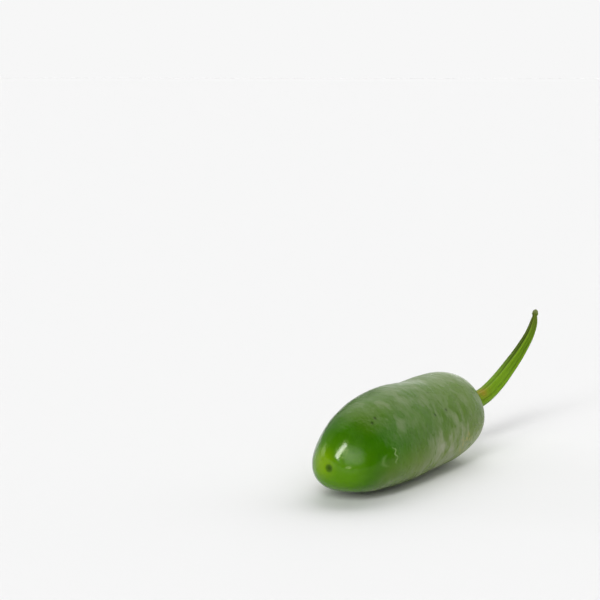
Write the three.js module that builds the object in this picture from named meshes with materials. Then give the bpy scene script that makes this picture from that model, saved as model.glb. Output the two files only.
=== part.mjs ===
// A jalapeño chilli pepper, picked with its stem and lying on its side.
// Millimetres, +Z up. The pod runs along X, from its blossom tip at -X to its stem end at +X,
// and the origin is on the small flat spot that it rests on, under its weight.
import * as THREE from "three";

// Pod: its length, and half of its outline as a blunt nose and a rounded shoulder
const podLength = 80;
const podRadius = 16.3;
const tipX = -42;
const widestFromTip = 49.5; // where the nose ends and the shoulder begins
const noseSpread = 13.3; // how far the outline leaves the tip straight outwards
const noseFullness = 32.6; // how far before the widest place it runs level
const shoulderFullness = 22.4;
const shoulderSpread = 13.5;

// The middle line leaves the X axis a little. Each term is its reach at the stem end, in mm.
const middleLine = { sideBow: -2.4, sideHook: -2, rise: 0.65, liftedEnd: 2.1 };

// Three soft lobes, one for each seed chamber. Sizes are shares of the radius, angles start at +Y.
const lobes = { count: 3, atTip: 0.078, atStem: 0.026, angle: -0.62 };

// Shallow places in the skin
const flankDent = { fromTip: 52.5, angle: 1.335, length: 12, spread: 0.45, depth: 1.1 };
const blossomScar = { radius: 1.25, depth: 0.5 };
const stemHollow = { radius: 7, depth: 1 };
const skinWaves = [
  { along: 7.5, round: 2, size: 0.14, shift: 0.4 },
  { along: 4.2, round: 5, size: 0.08, shift: 2.1 },
];
const restDepth = 0.5; // how much of the belly the surface flattens

// Pod mesh
const podSides = 64;
const noseRings = 20;
const shoulderRings = 22;
const endCrowding = 1.5; // above 1 the rings crowd towards both ends

// Calyx, the thin green cap between pod and stem, with a collar round the stem's foot
const contactGap = 0.3;
const calyxRadius = 6;
const calyxTeeth = { count: 5, reach: 1.3, sharpness: 3, angle: 0.35 };
const rimThickness = 0.8;
const collarHeight = 2.1;
const collarRadius = 4.4;
const calyxSides = 60;
const calyxRings = 9;

// Stem: radii in mm, distances along its path
const stemBaseRadius = 2.9;
const stemEndRadius = 0.95;
const stemTaper = 2.2; // above 1 most of the narrowing is near the cut end
const stemFlare = { size: 1, length: 3.5 };
const stemNeck = { depth: 0.75, length: 3 }; // the cut end is pinched in, behind a small knob
const stemKnob = { size: 0.58, fromEnd: 1.15, length: 1.05 };
const cutEndBevel = 0.75;
const stemRibs = { count: 5, height: 0.07, twist: 0.9, angle: 0.35 };
const stemSides = 30;
const stemRings = 60;

// The stem's path, from the middle of its foot: straight out, then up and a little to -Y
const stemPath = [
  [0, 0, 0], [3, 0, 0], [9.1, -1.9, 1.3], [15.6, -3.9, 5.2], [21.8, -5.4, 10],
  [27.1, -7.1, 15.3], [30.9, -9.1, 21.5], [32.3, -10, 25.8], [32.6, -10.6, 31],
];

const mix = THREE.MathUtils.lerp;
const bell = (x) => Math.exp(-x * x);
const upTo = (count) => Array.from({ length: count }, (_, i) => i + 1);
const ringOf = (sides, pointAt) => upTo(sides).map((i) => pointAt((i * 2 * Math.PI) / sides));

// Materials
function matte(color, roughness) {
  return new THREE.MeshStandardMaterial({ color, roughness, metalness: 0 });
}
const waxySkin = matte(0x3f6f16, 0.3);
const calyxGreen = matte(0x5d7a26, 0.6);
const stemGreen = matte(0x5e8212, 0.55);

// A closed skin over rings of equal size, with one point at each end
function closedSkin(firstPoint, rings, lastPoint) {
  const sides = rings[0].length;
  const points = [firstPoint, ...rings.flat(), lastPoint];
  const last = points.length - 1;
  const faces = [];
  for (let i = 0; i < sides; i += 1) {
    const next = (i + 1) % sides;
    faces.push(0, 1 + next, 1 + i);
    for (let ring = 1; ring < rings.length; ring += 1) {
      const far = 1 + ring * sides;
      const near = far - sides;
      faces.push(near + i, near + next, far + next);
      faces.push(near + i, far + next, far + i);
    }
    faces.push(last - sides + i, last - sides + next, last);
  }
  const geometry = new THREE.BufferGeometry();
  const numbers = points.flatMap((point) => point.toArray());
  geometry.setAttribute("position", new THREE.Float32BufferAttribute(numbers, 3));
  geometry.setIndex(faces);
  geometry.computeVertexNormals();
  return geometry;
}

function namedMesh(name, geometry, material) {
  const mesh = new THREE.Mesh(geometry, material);
  mesh.name = name;
  return mesh;
}

// Half of the pod's outline: X is the distance from the tip, Y the radius
const nose = new THREE.CubicBezierCurve(
  new THREE.Vector2(0, 0),
  new THREE.Vector2(0, noseSpread),
  new THREE.Vector2(widestFromTip - noseFullness, podRadius),
  new THREE.Vector2(widestFromTip, podRadius),
);
const shoulder = new THREE.CubicBezierCurve(
  new THREE.Vector2(widestFromTip, podRadius),
  new THREE.Vector2(widestFromTip + shoulderFullness, podRadius),
  new THREE.Vector2(podLength, shoulderSpread),
  new THREE.Vector2(podLength, 0),
);

// The radius that the dent and the waves add at one place of the skin
function relief(fromTip, angle, fullness) {
  const turn = angle - flankDent.angle;
  const turned = Math.atan2(Math.sin(turn), Math.cos(turn));
  let height = -flankDent.depth * bell((fromTip - flankDent.fromTip) / flankDent.length);
  height *= bell(turned / flankDent.spread);
  for (const { along, round, size, shift } of skinWaves) {
    height += size * fullness * Math.sin(fromTip / along + shift) * Math.cos(round * angle + shift);
  }
  return height;
}

// One point of the skin. Place runs from 0 at the tip through 1 at the widest ring to 2 at the stem end.
function skinPoint(place, angle) {
  const outline = place < 1 ? nose.getPoint(place) : shoulder.getPoint(place - 1);
  const fromMiddle = (2 * outline.x) / podLength - 1;
  const lobeSize = mix(lobes.atTip, lobes.atStem, outline.x / podLength);
  const lobed = outline.y * (1 + lobeSize * Math.cos(lobes.count * (angle - lobes.angle)));
  const radius = lobed + relief(outline.x, angle, outline.y / podRadius);
  const inward = place < 1
    ? blossomScar.depth * bell(outline.y / blossomScar.radius)
    : -stemHollow.depth * bell(outline.y / stemHollow.radius);
  const middleY = middleLine.sideBow * fromMiddle ** 2 + middleLine.sideHook * fromMiddle ** 3;
  const middleZ = middleLine.rise * fromMiddle + middleLine.liftedEnd * fromMiddle ** 3;
  return new THREE.Vector3(
    tipX + outline.x + inward,
    middleY + radius * Math.cos(angle),
    middleZ + radius * Math.sin(angle),
  );
}

const podRings = [
  ...upTo(noseRings).map((i) => (i / noseRings) ** endCrowding),
  ...upTo(shoulderRings - 1).map((i) => 2 - (1 - i / shoulderRings) ** endCrowding),
].map((place) => ringOf(podSides, (angle) => skinPoint(place, angle)));

// The belly's lowest point goes a little below Z = 0, where the flat spot then cuts it.
const lowest = Math.min(...podRings.flat().map((point) => point.z));
const podLift = new THREE.Vector3(0, 0, -lowest - restDepth);

function makePod() {
  const geometry = closedSkin(skinPoint(0, 0), podRings, skinPoint(2, 0));
  geometry.translate(...podLift);
  const position = geometry.attributes.position;
  for (let i = 0; i < position.count; i += 1) {
    position.setZ(i, Math.max(0, position.getZ(i)));
  }
  geometry.computeVertexNormals();
  return namedMesh("pod", geometry, waxySkin);
}

// The place on the shoulder that is a given distance from the stem end, found by halving
function placeAtRadius(radius) {
  let low = 1;
  let high = 2;
  for (let step = 0; step < 40; step += 1) {
    const middle = (low + high) / 2;
    if (shoulder.getPoint(middle - 1).y > radius) low = middle;
    else high = middle;
  }
  return high;
}

const stemEnd = skinPoint(2, 0).add(podLift);
const collarX = stemEnd.x + contactGap + collarHeight;

function makeCalyx() {
  const edgeAt = (angle) => {
    const tooth = (1 + Math.cos(calyxTeeth.count * (angle - calyxTeeth.angle))) / 2;
    return calyxRadius + calyxTeeth.reach * tooth ** calyxTeeth.sharpness;
  };
  const underside = (share, angle) => {
    const skin = skinPoint(placeAtRadius(share * edgeAt(angle)), angle).add(podLift);
    return skin.setX(skin.x + contactGap);
  };
  const topside = (share, angle) => {
    const point = underside(share, angle);
    const thickness = rimThickness * Math.sqrt(1 - 0.75 * share ** 8); // rounded off at the rim
    const fromRim = calyxRadius - share * edgeAt(angle);
    const rise = THREE.MathUtils.smoothstep(fromRim, 0, calyxRadius - collarRadius);
    return point.setX(mix(point.x + thickness, collarX, rise));
  };
  const shares = upTo(calyxRings).map((i) => i / calyxRings);
  const rings = [
    ...shares.map((share) => ringOf(calyxSides, (angle) => underside(share, angle))),
    ...shares.reverse().map((share) => ringOf(calyxSides, (angle) => topside(share, angle))),
  ];
  return namedMesh("calyx", closedSkin(underside(0, 0), rings, topside(0, 0)), calyxGreen);
}

function makeStem() {
  const foot = new THREE.Vector3(collarX + contactGap, stemEnd.y, stemEnd.z);
  const path = new THREE.CatmullRomCurve3(
    stemPath.map((point) => new THREE.Vector3(...point).add(foot)),
    false,
    "centripetal",
  );
  const length = path.getLength();
  const frames = path.computeFrenetFrames(stemRings, false);
  const radiusAt = (distance) => {
    const toEnd = length - distance;
    const taper = mix(stemBaseRadius, stemEndRadius, (distance / length) ** stemTaper);
    const flare = stemFlare.size * Math.exp(-distance / stemFlare.length);
    const neck = stemNeck.depth * bell(toEnd / stemNeck.length);
    const knob = stemKnob.size * bell(((toEnd - stemKnob.fromEnd) / stemKnob.length) ** 2);
    return taper + flare - neck + knob;
  };
  const rings = frames.tangents.map((_, i) => {
    const share = i / stemRings;
    const middle = path.getPointAt(share);
    const radius = radiusAt(share * length) * (share === 1 ? cutEndBevel : 1);
    return ringOf(stemSides, (angle) => {
      const ribTurn = angle - stemRibs.angle - stemRibs.twist * share;
      const ribbed = radius * (1 + stemRibs.height * Math.cos(stemRibs.count * ribTurn));
      return middle.clone()
        .addScaledVector(frames.normals[i], ribbed * Math.cos(angle))
        .addScaledVector(frames.binormals[i], ribbed * Math.sin(angle));
    });
  });
  return namedMesh("stem", closedSkin(path.getPointAt(0), rings, path.getPointAt(1)), stemGreen);
}

const pepper = new THREE.Group();
pepper.add(makePod(), makeCalyx(), makeStem());
export default pepper;
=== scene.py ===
# A jalapeño chilli pepper lying on its side, dressed for a close look.
# Metres, +Z up. The pod runs along X from its blossom tip to its stem end.
import math

import bpy
from mathutils import Matrix, Vector


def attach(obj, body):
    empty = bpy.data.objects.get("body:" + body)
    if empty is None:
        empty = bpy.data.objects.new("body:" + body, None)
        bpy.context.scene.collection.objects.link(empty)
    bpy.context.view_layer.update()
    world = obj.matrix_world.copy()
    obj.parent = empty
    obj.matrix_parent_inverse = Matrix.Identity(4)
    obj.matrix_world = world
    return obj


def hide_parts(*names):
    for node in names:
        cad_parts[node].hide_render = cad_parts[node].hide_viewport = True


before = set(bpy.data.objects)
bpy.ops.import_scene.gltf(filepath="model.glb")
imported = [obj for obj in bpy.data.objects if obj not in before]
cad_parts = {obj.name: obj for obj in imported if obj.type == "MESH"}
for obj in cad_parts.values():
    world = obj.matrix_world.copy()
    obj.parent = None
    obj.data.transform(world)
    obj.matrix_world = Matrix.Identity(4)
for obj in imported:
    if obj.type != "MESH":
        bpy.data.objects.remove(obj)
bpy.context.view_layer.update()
mm = 0.001
fullTurn = 2 * math.pi


# Helpers for node trees

class Term:  # a number in a node tree: plain arithmetic on it makes Math nodes
    def __init__(self, tree, source):
        self.tree = tree
        self.source = source

    def step(self, operation, *values):
        node = self.tree.nodes.new("ShaderNodeMath")
        node.operation = operation
        node.location = (len(self.tree.nodes) * 40, -len(self.tree.nodes) % 9 * 60)
        for place, value in zip(node.inputs, values):
            if isinstance(value, Term):
                self.tree.links.new(value.source, place)
            else:
                place.default_value = value
        return Term(self.tree, node.outputs[0])

    def __add__(self, other):
        return self.step("ADD", self, other)

    def __sub__(self, other):
        return self.step("SUBTRACT", self, other)

    def __rsub__(self, other):
        return self.step("SUBTRACT", other, self)

    def __mul__(self, other):
        return self.step("MULTIPLY", self, other)

    def __truediv__(self, other):
        return self.step("DIVIDE", self, other)

    def __pow__(self, other):
        return self.step("POWER", self, other)

    __radd__ = __add__
    __rmul__ = __mul__

    def sin(self):
        return self.step("SINE", self)

    def cos(self):
        return self.step("COSINE", self)

    def atLeast(self, other):
        return self.step("MAXIMUM", self, other)

    def atMost(self, other):
        return self.step("MINIMUM", self, other)

    def over(self, other):  # 1 above the other value, else 0
        return self.step("GREATER_THAN", self, other)

    def angleFrom(self, other):  # the angle whose sine is this and whose cosine is the other
        return self.step("ARCTAN2", self, other)

    def absolute(self):
        return self.step("ABSOLUTE", self)

    def exponent(self):
        return self.step("EXPONENT", self)

    def bell(self):
        return (self * self * -1).exponent()

    def smoothBetween(self, low, high):
        node = self.tree.nodes.new("ShaderNodeMapRange")
        node.interpolation_type = "SMOOTHSTEP"
        node.inputs["From Min"].default_value = low
        node.inputs["From Max"].default_value = high
        self.tree.links.new(self.source, node.inputs["Value"])
        return Term(self.tree, node.outputs["Result"])


def mixOf(low, high, share):
    return low + (high - low) * share


def vectorOf(tree, x, y, z):
    node = tree.nodes.new("ShaderNodeCombineXYZ")
    for place, value in zip(node.inputs, (x, y, z)):
        if isinstance(value, Term):
            tree.links.new(value.source, place)
        else:
            place.default_value = value
    return node.outputs[0]


def partsOf(tree, vector):
    node = tree.nodes.new("ShaderNodeSeparateXYZ")
    tree.links.new(vector, node.inputs[0])
    return [Term(tree, source) for source in node.outputs]


def addNode(tree, kind, links=(), **values):
    node = tree.nodes.new(kind)
    node.location = (len(tree.nodes) * 40, 200)
    for name, value in values.items():
        setattr(node, name, value)
    for place, source in dict(links).items():
        if isinstance(source, Term):
            source = source.source
        if isinstance(source, bpy.types.NodeSocket):
            tree.links.new(source, node.inputs[place])
        else:
            node.inputs[place].default_value = source
    return node


def makeTree(name, kind, inputs, outputs):
    tree = bpy.data.node_groups.new(name, kind)
    for label, socket in inputs.items():
        tree.interface.new_socket(label, in_out="INPUT", socket_type=socket)
    for label, socket in outputs.items():
        tree.interface.new_socket(label, in_out="OUTPUT", socket_type=socket)
    return tree, tree.nodes.new("NodeGroupInput"), tree.nodes.new("NodeGroupOutput")


def socketKind(value):
    if isinstance(value, bpy.types.Material):
        return "NodeSocketMaterial"
    return "NodeSocketInt" if isinstance(value, int) else "NodeSocketFloat"


# Runs a geometry tree on a start object and keeps the result as a plain mesh.
def bakedPiece(name, tree, settings, start):
    modifier = start.modifiers.new(name, "NODES")
    modifier.node_group = tree
    for item in tree.interface.items_tree:
        if item.in_out == "INPUT" and item.name in settings:
            modifier[item.identifier] = settings[item.name]
    graph = bpy.context.evaluated_depsgraph_get()
    mesh = bpy.data.meshes.new_from_object(
        start.evaluated_get(graph), preserve_all_data_layers=True, depsgraph=graph)
    start.modifiers.remove(modifier)
    bpy.data.objects.remove(start)
    mesh.name = name
    piece = bpy.data.objects.new(name, mesh)
    bpy.context.scene.collection.objects.link(piece)
    return piece


def linked(name, data):
    thing = bpy.data.objects.new(name, data)
    bpy.context.scene.collection.objects.link(thing)
    return thing


# Shared shader effects

def cloudGroup():
    group, given, made = makeTree(
        "softClouds", "ShaderNodeTree",
        {"Vector": "NodeSocketVector", "Scale": "NodeSocketFloat", "Detail": "NodeSocketFloat",
         "Low": "NodeSocketFloat", "High": "NodeSocketFloat"},
        {"Mask": "NodeSocketFloat"})
    noise = addNode(group, "ShaderNodeTexNoise", {
        "Vector": given.outputs["Vector"], "Scale": given.outputs["Scale"],
        "Detail": given.outputs["Detail"]})
    spread = addNode(group, "ShaderNodeMapRange", {
        "Value": noise.outputs["Fac"], "From Min": given.outputs["Low"],
        "From Max": given.outputs["High"]}, interpolation_type="SMOOTHSTEP")
    group.links.new(spread.outputs["Result"], made.inputs["Mask"])
    return group


def speckGroup():
    group, given, made = makeTree(
        "tinySpecks", "ShaderNodeTree",
        {"Vector": "NodeSocketVector", "Scale": "NodeSocketFloat", "Size": "NodeSocketFloat",
         "Share": "NodeSocketFloat"},
        {"Mask": "NodeSocketFloat"})
    cells = addNode(group, "ShaderNodeTexVoronoi", {
        "Vector": given.outputs["Vector"], "Scale": given.outputs["Scale"]})
    distance = Term(group, cells.outputs["Distance"])
    chosen = partsOf(group, cells.outputs["Color"])[0]
    picked = 1 - chosen.over(Term(group, given.outputs["Share"]))
    dot = 1 - (distance / Term(group, given.outputs["Size"])).atMost(1)
    group.links.new((dot * picked).source, made.inputs["Mask"])
    return group


clouds = cloudGroup()
specks = speckGroup()


def useGroup(tree, group, links):
    return Term(tree, addNode(tree, "ShaderNodeGroup", links, node_tree=group).outputs[0])


def mixColour(tree, share, low, high):
    node = addNode(tree, "ShaderNodeMix", data_type="RGBA")
    tree.links.new(share.source, node.inputs["Factor"])
    for place, colour in ((node.inputs[6], low), (node.inputs[7], high)):
        if isinstance(colour, bpy.types.NodeSocket):
            tree.links.new(colour, place)
        else:
            place.default_value = (*colour, 1)
    return node.outputs[2]


def pattern(tree, vector, values):  # values: scale, detail, start of the mask, full mask
    scale, detail, low, high = values
    return useGroup(tree, clouds, {
        "Vector": vector, "Scale": scale, "Detail": detail, "Low": low, "High": high})


def newMaterial(name):
    material = bpy.data.materials.new(name)
    material.use_nodes = True
    return material, material.node_tree.nodes["Principled BSDF"]


def objectPlace(tree):
    return addNode(tree, "ShaderNodeTexCoord").outputs["Object"]


def addBump(tree, shader, height, distance):
    node = addNode(tree, "ShaderNodeBump", {"Height": height, "Distance": distance, "Strength": 1.0})
    tree.links.new(node.outputs["Normal"], shader.inputs["Normal"])


# Pod: the same rule as the solid's, with finer rings and the skin's small unevenness

podSettings = {
    "Length": 80 * mm,
    "Radius": 16.3 * mm,
    "Tip X": -42 * mm,
    "Widest From Tip": 49.5 * mm,
    "Nose Spread": 13.3 * mm,
    "Nose Fullness": 32.6 * mm,
    "Shoulder Fullness": 22.4 * mm,
    "Shoulder Spread": 13.5 * mm,
    "Side Bow": -2.4 * mm,
    "Side Hook": -2 * mm,
    "Rise": 0.65 * mm,
    "Lifted End": 2.1 * mm,
    "Lobes": 3,
    "Lobe At Tip": 0.078,
    "Lobe At Stem": 0.026,
    "Lobe Angle": -0.62,
    "Dent From Tip": 52.5 * mm,
    "Dent Angle": 1.335,
    "Dent Length": 12 * mm,
    "Dent Spread": 0.45,
    "Dent Depth": 1.1 * mm,
    "Scar Radius": 1.25 * mm,
    "Scar Depth": 0.5 * mm,
    "Hollow Radius": 7 * mm,
    "Hollow Depth": 1 * mm,
    "Lift": 14.96 * mm,
    "Fold Height": 0.22 * mm,
    "Fold Scale": 130.0,
    "Fold Stretch": 0.5,
    "Rings": 280,
    "Sides": 250,
}
skinWaves = (  # length along the pod, count round it, height, shift
    (7.5 * mm, 2, 0.14 * mm, 0.4),
    (4.2 * mm, 5, 0.08 * mm, 2.1),
)
endCrowding = 1.5  # above 1 the rings crowd towards both ends


def podTree(material):
    sockets = {"Geometry": "NodeSocketGeometry", "Material": "NodeSocketMaterial"}
    sockets.update({label: socketKind(value) for label, value in podSettings.items()})
    tree, given, made = makeTree(
        "podSkinShape", "GeometryNodeTree", sockets, {"Geometry": "NodeSocketGeometry"})
    value = {label: Term(tree, given.outputs[label]) for label in podSettings}
    sheet = addNode(tree, "GeometryNodeMeshGrid", {
        "Size X": 2.0, "Size Y": fullTurn, "Vertices X": value["Rings"],
        "Vertices Y": value["Sides"] + 1})
    spot = partsOf(tree, addNode(tree, "GeometryNodeInputPosition").outputs[0])
    fromWidest = spot[0]
    angle = spot[1]
    length = value["Length"]
    radius = value["Radius"]
    widest = value["Widest From Tip"]

    # Both halves of the outline: t grows towards the widest ring, rings crowd at the ends.
    isNose = 1 - fromWidest.over(0)
    t = (1 - fromWidest.absolute()).atLeast(0) ** endCrowding
    rest = 1 - t
    noseX = (3 * (rest * t * t)) * (widest - value["Nose Fullness"]) + t * t * t * widest
    noseR = (3 * (rest * rest * t)) * value["Nose Spread"] + (3 * (rest * t * t) + t * t * t) * radius
    stemX = (rest * rest * rest + 3 * (rest * rest * t)) * length \
        + (3 * (rest * t * t)) * (widest + value["Shoulder Fullness"]) + t * t * t * widest
    stemR = (3 * (rest * rest * t)) * value["Shoulder Spread"] \
        + (3 * (rest * t * t) + t * t * t) * radius
    fromTip = mixOf(stemX, noseX, isNose)
    outline = mixOf(stemR, noseR, isNose)

    fullness = outline / radius
    fromMiddle = fromTip / length * 2 - 1
    lobeSize = mixOf(value["Lobe At Tip"], value["Lobe At Stem"], fromTip / length)
    lobed = outline * (lobeSize * ((angle - value["Lobe Angle"]) * value["Lobes"]).cos() + 1)
    turn = angle - value["Dent Angle"]
    turned = turn.sin().angleFrom(turn.cos())
    dent = ((fromTip - value["Dent From Tip"]) / value["Dent Length"]).bell() \
        * (turned / value["Dent Spread"]).bell() * value["Dent Depth"]
    reach = lobed - dent
    for waveLength, count, height, shift in skinWaves:
        reach = reach + (fromTip / waveLength + shift).sin() * (angle * count + shift).cos() \
            * fullness * height
    scar = (outline / value["Scar Radius"]).bell() * value["Scar Depth"] * isNose
    hollow = (outline / value["Hollow Radius"]).bell() * value["Hollow Depth"] * (1 - isNose)
    x = value["Tip X"] + fromTip + scar - hollow
    square = fromMiddle * fromMiddle
    middleY = value["Side Bow"] * square + value["Side Hook"] * square * fromMiddle
    middleZ = value["Rise"] * fromMiddle + value["Lifted End"] * square * fromMiddle + value["Lift"]

    # The skin's own unevenness, longer round the pod than along it, fades out at both ends.
    noisePlace = vectorOf(
        tree, x, reach * angle.cos() * value["Fold Stretch"], reach * angle.sin() * value["Fold Stretch"])
    folds = Term(tree, addNode(tree, "ShaderNodeTexNoise", {
        "Vector": noisePlace, "Scale": value["Fold Scale"], "Detail": 1.0}).outputs["Fac"])
    reach = reach + (folds - 0.5) * fullness * value["Fold Height"] * 2
    placed = vectorOf(
        tree, x, middleY + reach * angle.cos(), (middleZ + reach * angle.sin()).atLeast(0))
    shaped = addNode(tree, "GeometryNodeSetPosition", {
        "Geometry": sheet.outputs["Mesh"], "Position": placed})
    marked = addNode(tree, "GeometryNodeStoreNamedAttribute", {
        "Geometry": sheet.outputs["Mesh"], "Name": "skinPlace",
        "Value": vectorOf(tree, fromTip, angle.cos(), angle.sin())}, data_type="FLOAT_VECTOR")
    tree.links.new(marked.outputs[0], shaped.inputs["Geometry"])
    closed = addNode(tree, "GeometryNodeMergeByDistance", {
        "Geometry": shaped.outputs[0], "Distance": 0.001 * mm})
    smooth = addNode(tree, "GeometryNodeSetShadeSmooth", {"Geometry": closed.outputs[0]})
    single = addNode(tree, "GeometryNodeRealizeInstances", {"Geometry": smooth.outputs[0]})
    dressed = addNode(tree, "GeometryNodeSetMaterial", {
        "Geometry": single.outputs[0], "Material": given.outputs["Material"]})
    tree.links.new(dressed.outputs[0], made.inputs["Geometry"])
    return tree


podLook = {
    "deep": (0.023, 0.112, 0.0003),
    "fresh": (0.043, 0.155, 0.0004),
    "flank": (0.050, 0.128, 0.0008),
    "shoulder": (0.078, 0.158, 0.0080),
    # a lighter lower side: painted light bounced up from the floor
    "belly": (0.155, 0.225, 0.020),
    "waxAndPaintedSheen": (0.285, 0.315, 0.200),  # the pale wax on the skin, also used as painted sheen and painted floor reflection
    "tip": (0.084, 0.225, 0.0005),
    "yellow": (0.155, 0.290, 0.0006),
    "scar": (0.036, 0.100, 0.0003),
    "scarCentre": (0.024, 0.066, 0.0003),
    "paleMarkAndGlint": (0.250, 0.380, 0.130),
    "darkMark": (0.012, 0.035, 0.001),
    "warmMark": (0.330, 0.300, 0.050),
    "sheen": (1.00, 1.00, 0.50),
    "gloss": 0.2,
    "polishRoughness": 0.10,
    "bumpReach": 0.12 * mm,
}
# Places on the skin: middle, and how far from it the effect starts to fade and is gone
podPlaces = {
    "tip": ((-41.5 * mm, -0.4 * mm, 9.0 * mm), 4 * mm, 19 * mm),
    "yellow": ((-42 * mm, 2.5 * mm, 13.5 * mm), 1 * mm, 7 * mm),
    "scar": ((-41.5 * mm, -0.4 * mm, 12.2 * mm), 1.0 * mm, 1.7 * mm),
    "scarCentre": ((-41.5 * mm, -0.4 * mm, 12.2 * mm), 0.4 * mm, 0.9 * mm),
    "polish": ((-38.2 * mm, -5.8 * mm, 18.0 * mm), 4.2 * mm, 8.2 * mm),
    "warm": ((18 * mm, -16.4 * mm, 10 * mm), 2 * mm, 7 * mm),
}
# Stretches of the pod by their distance from the tip: where each starts and is full
podStretches = {
    "overTip": (5 * mm, 13 * mm),
    "paintedSheenUnderTip": (6 * mm, 13 * mm),
    "belly": (6 * mm, 16 * mm),
    "top": (11 * mm, 23 * mm),
    "flank": (14 * mm, 36 * mm),
    "shoulder": (18 * mm, 46 * mm),
    "waxed": (29 * mm, 46 * mm),
    "farGreen": (36 * mm, 64 * mm),
    "nearStem": (56 * mm, 68 * mm),
    "duller": (4 * mm, 30 * mm),
}
# Heights on the pod's side, from -1 at the bottom to 1 at the top: where each starts and is full
podHeights = {
    "bottom": (-0.95, -0.1),
    "belly": (-0.45, 0.25),
    "waxed": (-0.2, 0.65),
    "top": (0.2, 0.6),
    "overTip": (0.5, 0.95),
}
podPatterns = {
    "mottle": (75.0, 3.0, 0.35, 0.7),
    "broad": (28.0, 2.0, 0.3, 0.7),
    "patches": (110.0, 2.0, 0.42, 0.62),
    "dimples": (260.0, 2.0, 0.2, 0.8),
    "grain": (520.0, 2.0, 0.2, 0.8),
    "fineGrain": (1500.0, 1.0, 0.3, 0.7),
    "breaks": (900.0, 1.0, 0.25, 0.5),
    "nickPatches": (130.0, 0.0, 0.48, 0.6),
    "warmDots": (800.0, 1.0, 0.52, 0.68),
}
# Patterns that run round the pod, narrow along it and long across: first how often they change round it
podBandPatterns = {
    "streaks": (8, 0.55, 2.0, 0.34, 0.68),
    "bands": (10, 0.26, 3.0, 0.38, 0.64),
    "rubbed": (13, 0.17, 2.0, 0.45, 0.60),
    "nicks": (10, 2.6, 1.0, 0.68, 0.76),
}
# Shares of the pale wax colour. Its shares on the top, towards the stem end and under the tip are painted
# sheen and painted floor reflection.
podWax = {"bands": 0.45, "streaks": 0.35, "patches": 0.2, "rubbedOff": 0.85,
          "farEnd": 1.1, "lessNearStem": 0.6, "top": 0.36, "everywhere": 0.02,
          "paintedSheenUnderTip": 0.5, "paintedReflectionUnderTip": 0.1}
podRoughness = {"smooth": 0.12, "wax": 0.13, "mottle": 0.04, "awayFromTip": 0.12, "scar": 0.4}
podRelief = {"bands": 0.5, "streaks": 0.12, "rubbed": -0.3, "broad": 0.6, "dimples": 0.9,
             "grain": 0.16, "fineGrain": 0.06, "scratchesAndGlint": 0.5, "darkDots": -0.4, "nicks": -0.4, "pit": -1.8}
podDots = {  # scale, size and share of the cells that have one
    "pale": (420.0, 0.10, 0.16),
    "dark": (190.0, 0.06, 0.14),
}
podPit = {"middle": (-40.5 * mm, -6.5 * mm, 13.9 * mm), "radius": 1.0 * mm}
podSpecks = {
    "radius": 0.5 * mm,
    "middles": ((-25.8 * mm, -7.2 * mm, 26.1 * mm), (-28 * mm, -7.5 * mm, 25 * mm),
                (8.4 * mm, -13.7 * mm, 23 * mm), (1.4 * mm, -13.5 * mm, 22.6 * mm)),
}
# Healed scratches across the pod, the last one a painted glint by the pit: middle, half length and half
# width, sideways bow and waves
podScratchesAndGlint = (
    {"fromTip": 17.15 * mm, "angle": 3.08, "reach": 0.175, "width": 0.32 * mm, "bow": -0.35 * mm,
     "wave": 0.5 * mm, "waveCount": 6.5, "wavePhase": -2.52, "strength": 0.85},
    {"fromTip": 11.2 * mm, "angle": 3.14, "reach": 0.14, "width": 0.85 * mm, "bow": 1.6 * mm,
     "wave": 0.1 * mm, "waveCount": 4.0, "wavePhase": 0.0, "strength": 0.32},
    # a painted glint: the pale crescent where the pit's highlight falls
    {"fromTip": 1.7 * mm, "angle": 3.03, "reach": 0.06, "width": 0.4 * mm, "bow": 0.1 * mm,
     "wave": 0.0, "waveCount": 1.0, "wavePhase": 0.0, "strength": 0.8},
)


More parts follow.
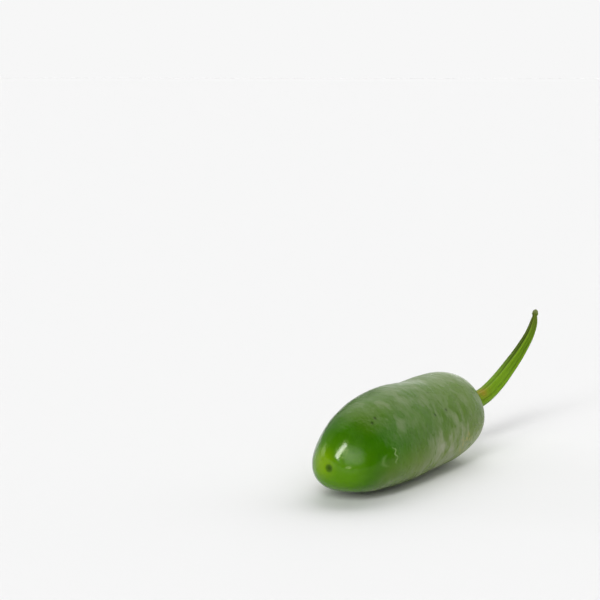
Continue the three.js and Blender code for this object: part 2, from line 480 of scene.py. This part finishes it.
def podMaterial():
    material, shader = newMaterial("podSkin")
    tree = material.node_tree
    place = objectPlace(tree)
    skin = addNode(tree, "ShaderNodeAttribute", attribute_name="skinPlace").outputs["Vector"]
    fromTip, across, upward = partsOf(tree, skin)
    angle = upward.angleFrom(across * -1)  # 0 on the -Y side, positive upwards

    def fromPoint(point):
        measured = addNode(tree, "ShaderNodeVectorMath", {0: place, 1: point}, operation="DISTANCE")
        return Term(tree, measured.outputs["Value"])

    def around(name):
        middle, near, far = podPlaces[name]
        return 1 - fromPoint(middle).smoothBetween(near, far)

    def along(name):
        return fromTip.smoothBetween(*podStretches[name])

    def above(name):
        return upward.smoothBetween(*podHeights[name])

    def cloud(name):
        return pattern(tree, place, podPatterns[name])

    def band(name):
        count, *values = podBandPatterns[name]
        return pattern(tree, vectorOf(tree, fromTip * 1000, across * count, upward * count), values)

    def dots(name):
        scale, size, share = podDots[name]
        return useGroup(tree, specks, {"Vector": place, "Scale": scale, "Size": size, "Share": share})

    mottle, broad, dimples = cloud("mottle"), cloud("broad"), cloud("dimples")
    streaks, bands, rubbed = band("streaks"), band("bands"), band("rubbed")
    onShoulder = along("shoulder")
    atBottom = 1 - above("bottom")

    # Greens, from the base colour up: flank, far end, the lower side lightened as painted floor bounce
    # light, tip
    colour = mixColour(tree, mottle * 0.6, podLook["deep"], podLook["fresh"])
    onFlank = along("flank").atLeast(above("overTip") * along("overTip")) * (broad * 0.4 + 0.6)
    colour = mixColour(tree, onFlank, colour, podLook["flank"])
    colour = mixColour(tree, along("farGreen") * (mottle * 0.4 + 0.6), colour, podLook["shoulder"])
    # Painted bounce light: the lower side, past the tip, made lighter as if lit from the floor
    onPaintedBellyLight = (1 - above("belly")) * along("belly") * (broad * 0.3 + 0.4)
    colour = mixColour(tree, onPaintedBellyLight, colour, podLook["belly"])
    colour = mixColour(tree, around("tip") * (mottle * 0.25 + 0.75), colour, podLook["tip"])
    colour = mixColour(tree, around("yellow") * 0.9, colour, podLook["yellow"])

    # The wax lies in bands and patches, and is rubbed off in places. Low down it starts nearer to the tip.
    # Its pale colour also paints sheen on the top and towards the stem end, and a painted floor reflection
    # under the tip.
    wax = (bands * podWax["bands"] + streaks * podWax["streaks"] + cloud("patches") * podWax["patches"]) \
        * (1 - rubbed * podWax["rubbedOff"])
    farEnd = (fromTip + atBottom * (11 * mm)).smoothBetween(*podStretches["waxed"])
    farEnd = farEnd * (1 - above("waxed")) * (podWax["farEnd"] - along("nearStem") * podWax["lessNearStem"])
    waxAndPaintedSheen = wax * (farEnd + above("top") * along("top") * podWax["top"] + podWax["everywhere"])
    paintedSheenUnderTip = atBottom * along("paintedSheenUnderTip") * (wax * podWax["paintedSheenUnderTip"] + podWax["paintedReflectionUnderTip"])
    colour = mixColour(tree, waxAndPaintedSheen.atLeast(paintedSheenUnderTip), colour, podLook["waxAndPaintedSheen"])

    # The blossom scar at the tip
    onScar = around("scar")
    colour = mixColour(tree, onScar * 0.85, colour, podLook["scar"])
    colour = mixColour(tree, around("scarCentre") * 0.85, colour, podLook["scarCentre"])

    breaks = cloud("breaks") * 0.7 + 0.3
    scratchesAndGlint = None
    # Pale lines: healed scratches, and one painted glint by the pit
    for paleLine in podScratchesAndGlint:
        crosswise = (angle - (math.pi - paleLine["angle"])) / paleLine["reach"]
        square = crosswise * crosswise
        bend = (crosswise * paleLine["waveCount"] + paleLine["wavePhase"]).sin() * paleLine["wave"] \
            + square * paleLine["bow"]
        line = ((fromTip - paleLine["fromTip"] - bend) / paleLine["width"]).bell() * (square * square).bell()
        line = line * breaks * paleLine["strength"]
        scratchesAndGlint = line if scratchesAndGlint is None else scratchesAndGlint.atLeast(line)
    darkDots = dots("dark")
    for middle in podSpecks["middles"]:
        darkDots = darkDots.atLeast((fromPoint(middle) / podSpecks["radius"]).bell())
    nicks = band("nicks") * onShoulder * cloud("nickPatches")
    colour = mixColour(tree, scratchesAndGlint * 0.8 + dots("pale") * 0.3, colour, podLook["paleMarkAndGlint"])
    colour = mixColour(tree, cloud("warmDots") * around("warm") * 0.6, colour, podLook["warmMark"])
    colour = mixColour(tree, darkDots.atLeast(nicks * 0.8), colour, podLook["darkMark"])
    tree.links.new(colour, shader.inputs["Base Color"])

    rough = podRoughness
    roughness = wax * rough["wax"] + mottle * rough["mottle"] + along("duller") * rough["awayFromTip"] \
        + onScar * rough["scar"] + rough["smooth"]
    tree.links.new(roughness.source, shader.inputs["Roughness"])
    shader.inputs["Specular IOR Level"].default_value = podLook["gloss"]
    shader.inputs["Specular Tint"].default_value = (*podLook["sheen"], 1)

    relief = podRelief
    pit = (fromPoint(podPit["middle"]) / podPit["radius"]).bell()
    waves = bands * relief["bands"] + streaks * relief["streaks"] + rubbed * relief["rubbed"]
    height = waves * (onShoulder * 0.7 + 0.3) + broad * relief["broad"] + dimples * relief["dimples"] \
        + cloud("grain") * relief["grain"] + cloud("fineGrain") * relief["fineGrain"] \
        + scratchesAndGlint * relief["scratchesAndGlint"] + darkDots * relief["darkDots"] + nicks * relief["nicks"] \
        + pit * relief["pit"]
    addBump(tree, shader, height, podLook["bumpReach"])

    # The front of the tip is rubbed shiny, all but the scar
    polish = around("polish") * (1 - onScar) * (dimples * 0.55 + 0.5)
    tree.links.new(polish.source, shader.inputs["Coat Weight"])
    shader.inputs["Coat Roughness"].default_value = podLook["polishRoughness"]
    return material


def makePod():
    material = podMaterial()
    start = linked("podStart", bpy.data.meshes.new("podStart"))
    pod = bakedPiece("podSkinPiece", podTree(material), dict(podSettings, Material=material), start)
    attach(pod, "root")
    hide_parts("pod")
    print("pod made:", len(pod.data.polygons), "faces")


# Calyx: the cap with its teeth, pressed onto the pod's end and round the stem's foot

calyxSettings = {
    "radius": 6.0,
    "teeth": 5,
    "toothReach": 1.3,
    "toothSharpness": 3,
    "toothAngle": 0.35,
    "rim": 0.8,
    "collarRadius": 4.4,
    "collarHeight": 2.1,
    "gap": 0.3,
    "sunk": 0.25,  # how far it is pressed into the pod
    "sides": 160,
    "rings": 30,
    "veinHeight": 0.14,
}
calyxLook = {
    "green": (0.110, 0.190, 0.012),
    "light": (0.200, 0.290, 0.030),
    "brown": (0.170, 0.120, 0.030),
    "roughness": 0.5,
    "mottledRoughness": 0.15,
    "bumpReach": 0.1 * mm,
}
calyxPatterns = {
    "mottle": (420.0, 3.0, 0.35, 0.7),
    "dry": (190.0, 2.0, 0.55, 0.7),
}


def smoothStep(value, low, high):
    share = min(1.0, max(0.0, (value - low) / (high - low)))
    return share * share * (3 - 2 * share)


# The shoulder half of the pod's outline in mm: its distance from the tip and its radius
def shoulderPoint(t):
    length, radius = podSettings["Length"] / mm, podSettings["Radius"] / mm
    widest = podSettings["Widest From Tip"] / mm
    full = widest + podSettings["Shoulder Fullness"] / mm
    spread = podSettings["Shoulder Spread"] / mm
    rest = 1 - t
    x = rest ** 3 * widest + 3 * rest * rest * t * full + (3 * rest * t * t + t ** 3) * length
    r = (rest ** 3 + 3 * rest * rest * t) * radius + 3 * rest * t * t * spread
    return x, r


# The pod's skin near the stem end, in mm. The place on the outline is found by halving.
def podEndPoint(radius, angle):
    low, high = 0.0, 1.0
    for step in range(40):
        middle = (low + high) / 2
        if shoulderPoint(middle)[1] > radius:
            low = middle
        else:
            high = middle
    x, r = shoulderPoint(high)
    share = x / (podSettings["Length"] / mm)
    lobe = mixOf(podSettings["Lobe At Tip"], podSettings["Lobe At Stem"], share)
    reach = r * (1 + lobe * math.cos(podSettings["Lobes"] * (angle - podSettings["Lobe Angle"])))
    fromMiddle = 2 * share - 1
    hollow = podSettings["Hollow Depth"] / mm * math.exp(-(r * mm / podSettings["Hollow Radius"]) ** 2)
    y = (podSettings["Side Bow"] * fromMiddle ** 2 + podSettings["Side Hook"] * fromMiddle ** 3) / mm
    z = (podSettings["Rise"] * fromMiddle + podSettings["Lifted End"] * fromMiddle ** 3
         + podSettings["Lift"]) / mm
    return Vector((podSettings["Tip X"] / mm + x - hollow, y + reach * math.cos(angle),
                   z + reach * math.sin(angle)))


podEnd = podEndPoint(0.0, 0.0)
collarX = podEnd.x + calyxSettings["gap"] + calyxSettings["collarHeight"]


def calyxMaterial():
    material, shader = newMaterial("calyxGreen")
    tree = material.node_tree
    place = objectPlace(tree)
    mottle = pattern(tree, place, calyxPatterns["mottle"])
    dry = pattern(tree, place, calyxPatterns["dry"])
    colour = mixColour(tree, mottle, calyxLook["green"], calyxLook["light"])
    colour = mixColour(tree, dry * 0.6, colour, calyxLook["brown"])
    tree.links.new(colour, shader.inputs["Base Color"])
    roughness = mottle * calyxLook["mottledRoughness"] + calyxLook["roughness"]
    tree.links.new(roughness.source, shader.inputs["Roughness"])
    addBump(tree, shader, mottle, calyxLook["bumpReach"])
    return material


def makeCalyx():
    setting = calyxSettings
    sides, count = setting["sides"], setting["rings"]

    def edgeAt(angle):
        tooth = (1 + math.cos(setting["teeth"] * (angle - setting["toothAngle"]))) / 2
        return setting["radius"] + setting["toothReach"] * tooth ** setting["toothSharpness"]

    def underside(share, angle):
        return podEndPoint(share * edgeAt(angle), angle) - Vector((setting["sunk"], 0, 0))

    def topside(share, angle):
        point = podEndPoint(share * edgeAt(angle), angle)
        thickness = setting["gap"] + setting["rim"] * math.sqrt(1 - 0.75 * share ** 8)
        fromRim = setting["radius"] - share * edgeAt(angle)
        rise = smoothStep(fromRim, 0, setting["radius"] - setting["collarRadius"])
        vein = max(0.0, math.cos(setting["teeth"] * (angle - setting["toothAngle"]))) ** 6
        thickness += setting["veinHeight"] * vein * math.sin(math.pi * min(1.0, share * 1.05))
        point.x = mixOf(point.x + thickness, collarX, rise)
        return point

    shares = [(i + 1) / count for i in range(count)]
    angles = [i * fullTurn / sides for i in range(sides)]
    rings = [[underside(share, angle) for angle in angles] for share in shares]
    rings += [[topside(share, angle) for angle in angles] for share in reversed(shares)]
    points = [underside(0, 0)] + [point for ring in rings for point in ring] + [topside(0, 0)]
    last = len(points) - 1
    faces = []
    for i in range(sides):
        after = (i + 1) % sides
        faces.append((0, 1 + after, 1 + i))
        for ring in range(1, len(rings)):
            near = 1 + (ring - 1) * sides
            faces.append((near + i, near + after, near + sides + after, near + sides + i))
        faces.append((last - sides + i, last - sides + after, last))
    mesh = bpy.data.meshes.new("calyxCap")
    mesh.from_pydata([point * mm for point in points], [], faces)
    mesh.shade_smooth()
    mesh.materials.append(calyxMaterial())
    calyx = linked("calyxCap", mesh)
    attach(calyx, "root")
    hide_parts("calyx")
    print("calyx made:", len(mesh.polygons), "faces")


# Stem: a ribbed profile swept along a curve, with its radius set by a rule

stemPath = (  # mm from the middle of its foot: straight out, then up and a little to -Y
    (0, 0, 0), (3, 0, 0), (9.1, -1.9, 1.3), (15.6, -3.9, 5.2), (21.8, -5.4, 10),
    (27.1, -7.1, 15.3), (30.9, -9.1, 21.5), (32.3, -10, 25.8), (32.6, -10.6, 31),
)
stemSettings = {
    "Rings": 260,
    "Sides": 110,
    "Base Radius": 2.9 * mm,
    "End Radius": 0.95 * mm,
    "Taper": 2.2,
    "Flare Size": 1 * mm,
    "Flare Length": 3.5 * mm,
    "Neck Depth": 0.75 * mm,
    "Neck Length": 3 * mm,
    "Knob Size": 0.58 * mm,
    "Knob From End": 1.15 * mm,
    "Knob Length": 1.05 * mm,
    "Rounding": 0.45 * mm,
    "Cut End Share": 0.55,
    "Ribs": 5,
    "Rib Height": 0.11,
    "Rib Width": 0.15,
    "Groove Depth": 0.1,
    "Groove Offset": 0.34,
    "Groove Width": 0.13,
    "Fine Ribs": 16,
    "Fine Rib Height": 0.006,
    "Rib Angle": 0.19,
}
pathSteps = 40  # points in each part of the path
stemLook = {
    "green": (0.095, 0.200, 0.005),
    # ridge colour: painted light on the ridges
    "light": (0.180, 0.315, 0.012),
    "fresh": (0.165, 0.315, 0.011),
    # groove colour: painted shade in the grooves
    "groove": (0.026, 0.045, 0.001),
    # painted shade on one side of the stem, and the angle round it where it is darkest
    "paintedShade": (0.046, 0.070, 0.004),
    "paintedShadeAngle": -2.26,
    "olive": (0.110, 0.140, 0.018),
    "brown": (0.330, 0.235, 0.020),
    "brownMiddle": (0.18, -1.45),  # share of the length and angle round the stem
    "brownReach": (0.065, 0.8),
    "end": (0.200, 0.230, 0.090),
    "sheen": (0.85, 1.0, 0.4),
    "gloss": 0.2,
    "roughness": 0.5,
    "lineRoughness": 0.15,
    "bumpReach": 0.12 * mm,
}
stemPatterns = {
    "lengthwise": (1.6, 3.0, 0.35, 0.68),
    "mottle": (260.0, 2.0, 0.35, 0.7),
}
# Shares of the stem's length: where each look starts and is full
stemStretches = {
    "upper": (0.32, 0.76),
    "olive": (0.74, 0.97),
    "end": (0.965, 0.985),
}


# The path as a fine row of points: a Catmull-Rom curve with centripetal spacing
def stemPathPoints():
    foot = Vector((collarX + calyxSettings["gap"], podEnd.y, podEnd.z))
    given = [Vector(point) + foot for point in stemPath]
    ends = [given[0] * 2 - given[1]] + given + [given[-1] * 2 - given[-2]]
    made = []
    for i in range(len(given) - 1):
        p0, p1, p2, p3 = ends[i:i + 4]
        d0, d1, d2 = [(b - a).length ** 0.5 for a, b in ((p0, p1), (p1, p2), (p2, p3))]
        t1 = ((p1 - p0) / d0 - (p2 - p0) / (d0 + d1) + (p2 - p1) / d1) * d1
        t2 = ((p2 - p1) / d1 - (p3 - p1) / (d1 + d2) + (p3 - p2) / d2) * d1
        for step in range(pathSteps):
            t = step / pathSteps
            made.append(p1 * (2 * t ** 3 - 3 * t * t + 1) + t1 * (t ** 3 - 2 * t * t + t)
                        + p2 * (3 * t * t - 2 * t ** 3) + t2 * (t ** 3 - t * t))
    made.append(given[-1])
    made[0] = made[0] - Vector((1.0, 0, 0))  # rooted in the calyx
    return [point * mm for point in made]


def stemTree():
    sockets = {"Geometry": "NodeSocketGeometry", "Material": "NodeSocketMaterial"}
    sockets.update({label: socketKind(value) for label, value in stemSettings.items()})
    tree, given, made = makeTree(
        "stemShape", "GeometryNodeTree", sockets, {"Geometry": "NodeSocketGeometry"})
    value = {label: Term(tree, given.outputs[label]) for label in stemSettings}
    path = addNode(tree, "GeometryNodeMeshToCurve", {"Mesh": given.outputs["Geometry"]})
    path = addNode(tree, "GeometryNodeResampleCurve", {
        "Curve": path.outputs[0], "Count": value["Rings"]})
    spline = addNode(tree, "GeometryNodeSplineParameter")
    share = Term(tree, spline.outputs["Factor"])
    distance = Term(tree, spline.outputs["Length"])
    whole = Term(tree, addNode(tree, "GeometryNodeSplineLength").outputs["Length"])
    toEnd = whole - distance
    flare = value["Flare Size"] * (distance / value["Flare Length"] * -1).exponent()
    neck = value["Neck Depth"] * (toEnd / value["Neck Length"]).bell()
    fromKnob = (toEnd - value["Knob From End"]) / value["Knob Length"]
    knob = value["Knob Size"] * (fromKnob * fromKnob).bell()
    taper = mixOf(value["Base Radius"], value["End Radius"], share ** value["Taper"])
    radius = taper + flare - neck + knob
    rounded = 1 - (1 - (toEnd / value["Rounding"]).atMost(1)) ** 2.0
    radius = radius * mixOf(value["Cut End Share"], 1, rounded)
    widened = addNode(tree, "GeometryNodeSetCurveRadius", {"Radius": radius})
    marked = addNode(tree, "GeometryNodeStoreNamedAttribute", {
        "Name": "stemShare", "Value": share}, data_type="FLOAT")
    tree.links.new(path.outputs[0], marked.inputs["Geometry"])
    tree.links.new(marked.outputs[0], widened.inputs["Curve"])
    turned = addNode(tree, "GeometryNodeSetCurveTilt", {
        "Curve": widened.outputs[0], "Tilt": value["Rib Angle"]})

    circle = addNode(tree, "GeometryNodeCurvePrimitiveCircle", {
        "Resolution": value["Sides"], "Radius": 1.0})
    spot = partsOf(tree, addNode(tree, "GeometryNodeInputPosition").outputs[0])
    angle = spot[1].angleFrom(spot[0])
    ribTurn = angle * value["Ribs"]
    fromRib = ribTurn.sin().angleFrom(ribTurn.cos()) / value["Ribs"]
    ridge = (fromRib / value["Rib Width"]).bell() * value["Rib Height"]
    deep = ((fromRib + value["Groove Offset"]) / value["Groove Width"]).bell()
    shallow = ((fromRib - value["Groove Offset"]) / value["Groove Width"]).bell()
    groove = (deep + shallow * 0.4) * value["Groove Depth"]
    fine = (angle * value["Fine Ribs"] + 0.7).cos() * value["Fine Rib Height"]
    scale = ridge - groove + fine + 1
    ribbed = addNode(tree, "GeometryNodeSetPosition", {
        "Geometry": circle.outputs[0], "Position": vectorOf(tree, spot[0] * scale, spot[1] * scale, 0.0)})
    profile = addNode(tree, "GeometryNodeStoreNamedAttribute", {
        "Name": "ribPlace", "Value": vectorOf(tree, angle.cos(), angle.sin(), 0.0)},
        data_type="FLOAT_VECTOR")
    tree.links.new(circle.outputs[0], profile.inputs["Geometry"])
    tree.links.new(profile.outputs[0], ribbed.inputs["Geometry"])
    swept = addNode(tree, "GeometryNodeCurveToMesh", {
        "Curve": turned.outputs[0], "Profile Curve": ribbed.outputs[0], "Fill Caps": True,
        "Scale": Term(tree, addNode(tree, "GeometryNodeInputRadius").outputs[0])})
    smooth = addNode(tree, "GeometryNodeSetShadeSmooth", {"Geometry": swept.outputs[0]})
    single = addNode(tree, "GeometryNodeRealizeInstances", {"Geometry": smooth.outputs[0]})
    dressed = addNode(tree, "GeometryNodeSetMaterial", {
        "Geometry": single.outputs[0], "Material": given.outputs["Material"]})
    tree.links.new(dressed.outputs[0], made.inputs["Geometry"])
    return tree


def stemMaterial():
    material, shader = newMaterial("stemGreen")
    tree = material.node_tree
    share = Term(tree, addNode(tree, "ShaderNodeAttribute", attribute_name="stemShare").outputs["Fac"])
    profile = addNode(tree, "ShaderNodeAttribute", attribute_name="ribPlace").outputs["Vector"]
    across, upward = partsOf(tree, profile)[:2]
    angle = upward.angleFrom(across)
    ribTurn = angle * stemSettings["Ribs"]
    fromRib = ribTurn.sin().angleFrom(ribTurn.cos()) / stemSettings["Ribs"]
    paintedRidgeLight = (fromRib / stemSettings["Rib Width"]).bell()
    offset, width = stemSettings["Groove Offset"], stemSettings["Groove Width"]
    inGroove = ((fromRib + offset) / width).bell()
    inLine = ((fromRib - offset) / (width * 0.5)).bell()
    lengthwise = pattern(
        tree, vectorOf(tree, share * 9, across * 5, upward * 5), stemPatterns["lengthwise"])
    mottle = pattern(tree, objectPlace(tree), stemPatterns["mottle"])

    def along(name):
        return share.smoothBetween(*stemStretches[name])

    upper = along("upper")
    # The ridges are painted lighter as painted light, mixed with lengthwise streaks of the stem's own tone
    colour = mixColour(tree, paintedRidgeLight * 0.75 + lengthwise * 0.25, stemLook["green"], stemLook["light"])
    colour = mixColour(tree, (1 - upper) * 0.8, colour, stemLook["fresh"])
    # Painted shade: one side of the stem made darker, most of all in its upper part
    onPaintedShadeSide = (angle - stemLook["paintedShadeAngle"]).cos().smoothBetween(0.45, 0.9)
    colour = mixColour(tree, onPaintedShadeSide * (upper * 0.65 + 0.12), colour, stemLook["paintedShade"])
    colour = mixColour(tree, along("olive") * 0.75, colour, stemLook["olive"])
    # Painted shade in the grooves, deepest on the shaded side and in the upper part
    paintedGrooveShade = inGroove * (onPaintedShadeSide * 0.6 + 0.35) + inLine * 0.35
    colour = mixColour(tree, paintedGrooveShade * (upper * 0.6 + 0.38), colour, stemLook["groove"])
    brownShare, brownAngle = stemLook["brownMiddle"]
    shareReach, angleReach = stemLook["brownReach"]
    brown = ((share - brownShare) / shareReach).bell() * ((angle - brownAngle) / angleReach).bell()
    colour = mixColour(tree, brown * (mottle * 0.4 + 0.6), colour, stemLook["brown"])
    colour = mixColour(tree, along("end") * 0.7, colour, stemLook["end"])
    tree.links.new(colour, shader.inputs["Base Color"])
    roughness = lengthwise * stemLook["lineRoughness"] + stemLook["roughness"]
    tree.links.new(roughness.source, shader.inputs["Roughness"])
    shader.inputs["Specular IOR Level"].default_value = stemLook["gloss"]
    shader.inputs["Specular Tint"].default_value = (*stemLook["sheen"], 1)
    addBump(tree, shader, lengthwise * 0.6 + mottle * 0.3, stemLook["bumpReach"])
    return material


def makeStem():
    points = stemPathPoints()
    mesh = bpy.data.meshes.new("stemStart")
    mesh.from_pydata(points, [(i, i + 1) for i in range(len(points) - 1)], [])
    material = stemMaterial()
    stem = bakedPiece("stemRibbed", stemTree(), dict(stemSettings, Material=material),
                      linked("stemStart", mesh))
    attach(stem, "root")
    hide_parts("stem")
    print("stem made:", len(stem.data.polygons), "faces")


makePod()
makeCalyx()
makeStem()


# Stage: camera, pale floor and a soft studio all round

view = {
    "azimuth": math.radians(-54.72),
    "pitch": math.radians(9),
    "distance": 478 * mm,
    "lens": 85.0,
    "sensor": 36.0,
    "pictureSide": 600,
    "podMiddlePixel": (393.95, 476.83),  # where the floor point under the pod's half length is seen
    "podMiddle": (-2 * mm, 0, 0),
}
viewBack = Vector((math.sin(view["azimuth"]) * math.cos(view["pitch"]),
                   -math.cos(view["azimuth"]) * math.cos(view["pitch"]), math.sin(view["pitch"])))
viewRight = Vector((math.cos(view["azimuth"]), math.sin(view["azimuth"]), 0))
viewUp = viewBack.cross(viewRight)


def makeCamera():
    perPixel = view["distance"] * view["sensor"] / view["lens"] / view["pictureSide"]
    column, row = view["podMiddlePixel"]
    half = view["pictureSide"] / 2
    place = Vector(view["podMiddle"]) + viewBack * view["distance"] \
        - viewRight * (column - half) * perPixel + viewUp * (row - half) * perPixel
    data = bpy.data.cameras.new("camera")
    data.lens = view["lens"]
    data.sensor_width = view["sensor"]
    data.clip_start = 0.01
    camera = linked("camera", data)
    turned = Matrix((viewRight, viewUp, viewBack)).transposed().to_4x4()
    camera.matrix_world = Matrix.Translation(place) @ turned
    bpy.context.scene.camera = camera


stage = {
    "floorSide": 60.0,
    "floorColour": 0.82,
    "backgroundLight": 0.93,
    "roomLight": 1.3,
    "roomLightAbove": 1.8,
    "aboveEdges": (0.5, 0.8),
    "leftShare": 0.4,
    "leftEdges": (-0.6, -0.1),
    "darkSideLight": 0.03,  # the camera's side of the room
    "darkSideEdges": (-0.24, 0.1),
    "flagLight": 0.15,  # a dark card far behind, on the left, gives the rim its edge
    "flagEdges": (-0.97, -0.82),
    "flagEndsAt": (0.0, 0.15),
    "overheadLight": 0.35,
    "overheadFrom": (0.35, 0.85, -0.4),  # right, up and towards the camera
    "overheadEdges": (math.cos(math.radians(46)), math.cos(math.radians(25))),
}
# Bright windows: middle (right, up, towards the camera), direction of their length,
# half length and half width as tangents, softness of the edge, light
stageWindows = (
    {"middle": (-0.35, 0.39, 0.86), "along": (0.72, 0.69, 0.0), "halfLength": 0.44,
     "halfWidth": 0.095, "edge": 0.05, "light": 13.0},
    {"middle": (0.12, 0.32, 0.94), "along": (1.0, 0.1, 0.0), "halfLength": 0.44,
     "halfWidth": 0.26, "edge": 0.16, "light": 1.5},
    {"middle": (-0.95, 0.15, -0.22), "along": (0.0, 1.0, 0.0), "halfLength": 0.24,
     "halfWidth": 0.14, "edge": 0.08, "light": 3.2},
    {"middle": (0.22, 0.2, -0.95), "along": (0.0, 1.0, 0.0), "halfLength": 0.24,
     "halfWidth": 0.26, "edge": 0.08, "light": 0.8},
)


def windowMask(tree, x, y, z, window):
    def along(axis):
        return x * axis.x + y * axis.y + z * axis.z

    def fromView(given):
        return viewRight * given[0] + viewUp * given[1] + viewBack * given[2]

    middle = fromView(window["middle"]).normalized()
    lengthwise = fromView(window["along"])
    lengthwise = (lengthwise - middle * lengthwise.dot(middle)).normalized()
    facing = along(middle)
    leastFacing = 0.05
    near = facing.atLeast(leastFacing)
    mask = facing.over(leastFacing)
    for axis, half in ((lengthwise, window["halfLength"]), (middle.cross(lengthwise), window["halfWidth"])):
        away = (along(axis) / near).absolute()
        mask = mask * (1 - away.smoothBetween(half - window["edge"], half + window["edge"]))
    return mask


def makeLights():
    world = bpy.data.worlds.new("studio")
    bpy.context.scene.world = world
    world.use_nodes = True
    tree = world.node_tree
    sky = tree.nodes["Background"]
    x, y, z = partsOf(tree, addNode(tree, "ShaderNodeTexCoord").outputs["Generated"])
    flatBack = Vector((viewBack.x, viewBack.y, 0)).normalized()
    towards = x * flatBack.x + y * flatBack.y
    right = x * viewRight.x + y * viewRight.y
    room = mixOf(stage["roomLight"], stage["roomLightAbove"], z.smoothBetween(*stage["aboveEdges"]))
    room = room * mixOf(stage["leftShare"], 1, right.smoothBetween(*stage["leftEdges"]))
    light = mixOf(room, stage["darkSideLight"], towards.smoothBetween(*stage["darkSideEdges"]))
    unflagged = towards.smoothBetween(*stage["flagEdges"]).atLeast(
        right.smoothBetween(*stage["flagEndsAt"]))
    light = light * mixOf(stage["flagLight"], 1, unflagged)
    overhead = (viewRight * stage["overheadFrom"][0] + Vector((0, 0, stage["overheadFrom"][1]))
                + flatBack * stage["overheadFrom"][2]).normalized()
    above = x * overhead.x + y * overhead.y + z * overhead.z
    light = light + above.smoothBetween(*stage["overheadEdges"]) * stage["overheadLight"]
    for window in stageWindows:
        light = light + windowMask(tree, x, y, z, window) * window["light"]
    seen = Term(tree, addNode(tree, "ShaderNodeLightPath").outputs["Is Camera Ray"])
    tree.links.new(mixOf(light, stage["backgroundLight"], seen).source, sky.inputs["Strength"])
    sky.inputs["Color"].default_value = (1, 1, 1, 1)


def makeFloor():
    mesh = bpy.data.meshes.new("floor")
    side = stage["floorSide"]
    mesh.from_pydata([(-side, -side, 0), (side, -side, 0), (side, side, 0), (-side, side, 0)],
                     [], [(0, 1, 2, 3)])
    floor = linked("floor", mesh)
    material, shader = newMaterial("paleFloor")
    shader.inputs["Base Color"].default_value = (stage["floorColour"],) * 3 + (1,)
    shader.inputs["Roughness"].default_value = 1.0
    shader.inputs["Specular IOR Level"].default_value = 0.0
    mesh.materials.append(material)


makeCamera()
makeLights()
makeFloor()
bpy.context.scene.view_settings.view_transform = "Standard"
print("stage made")
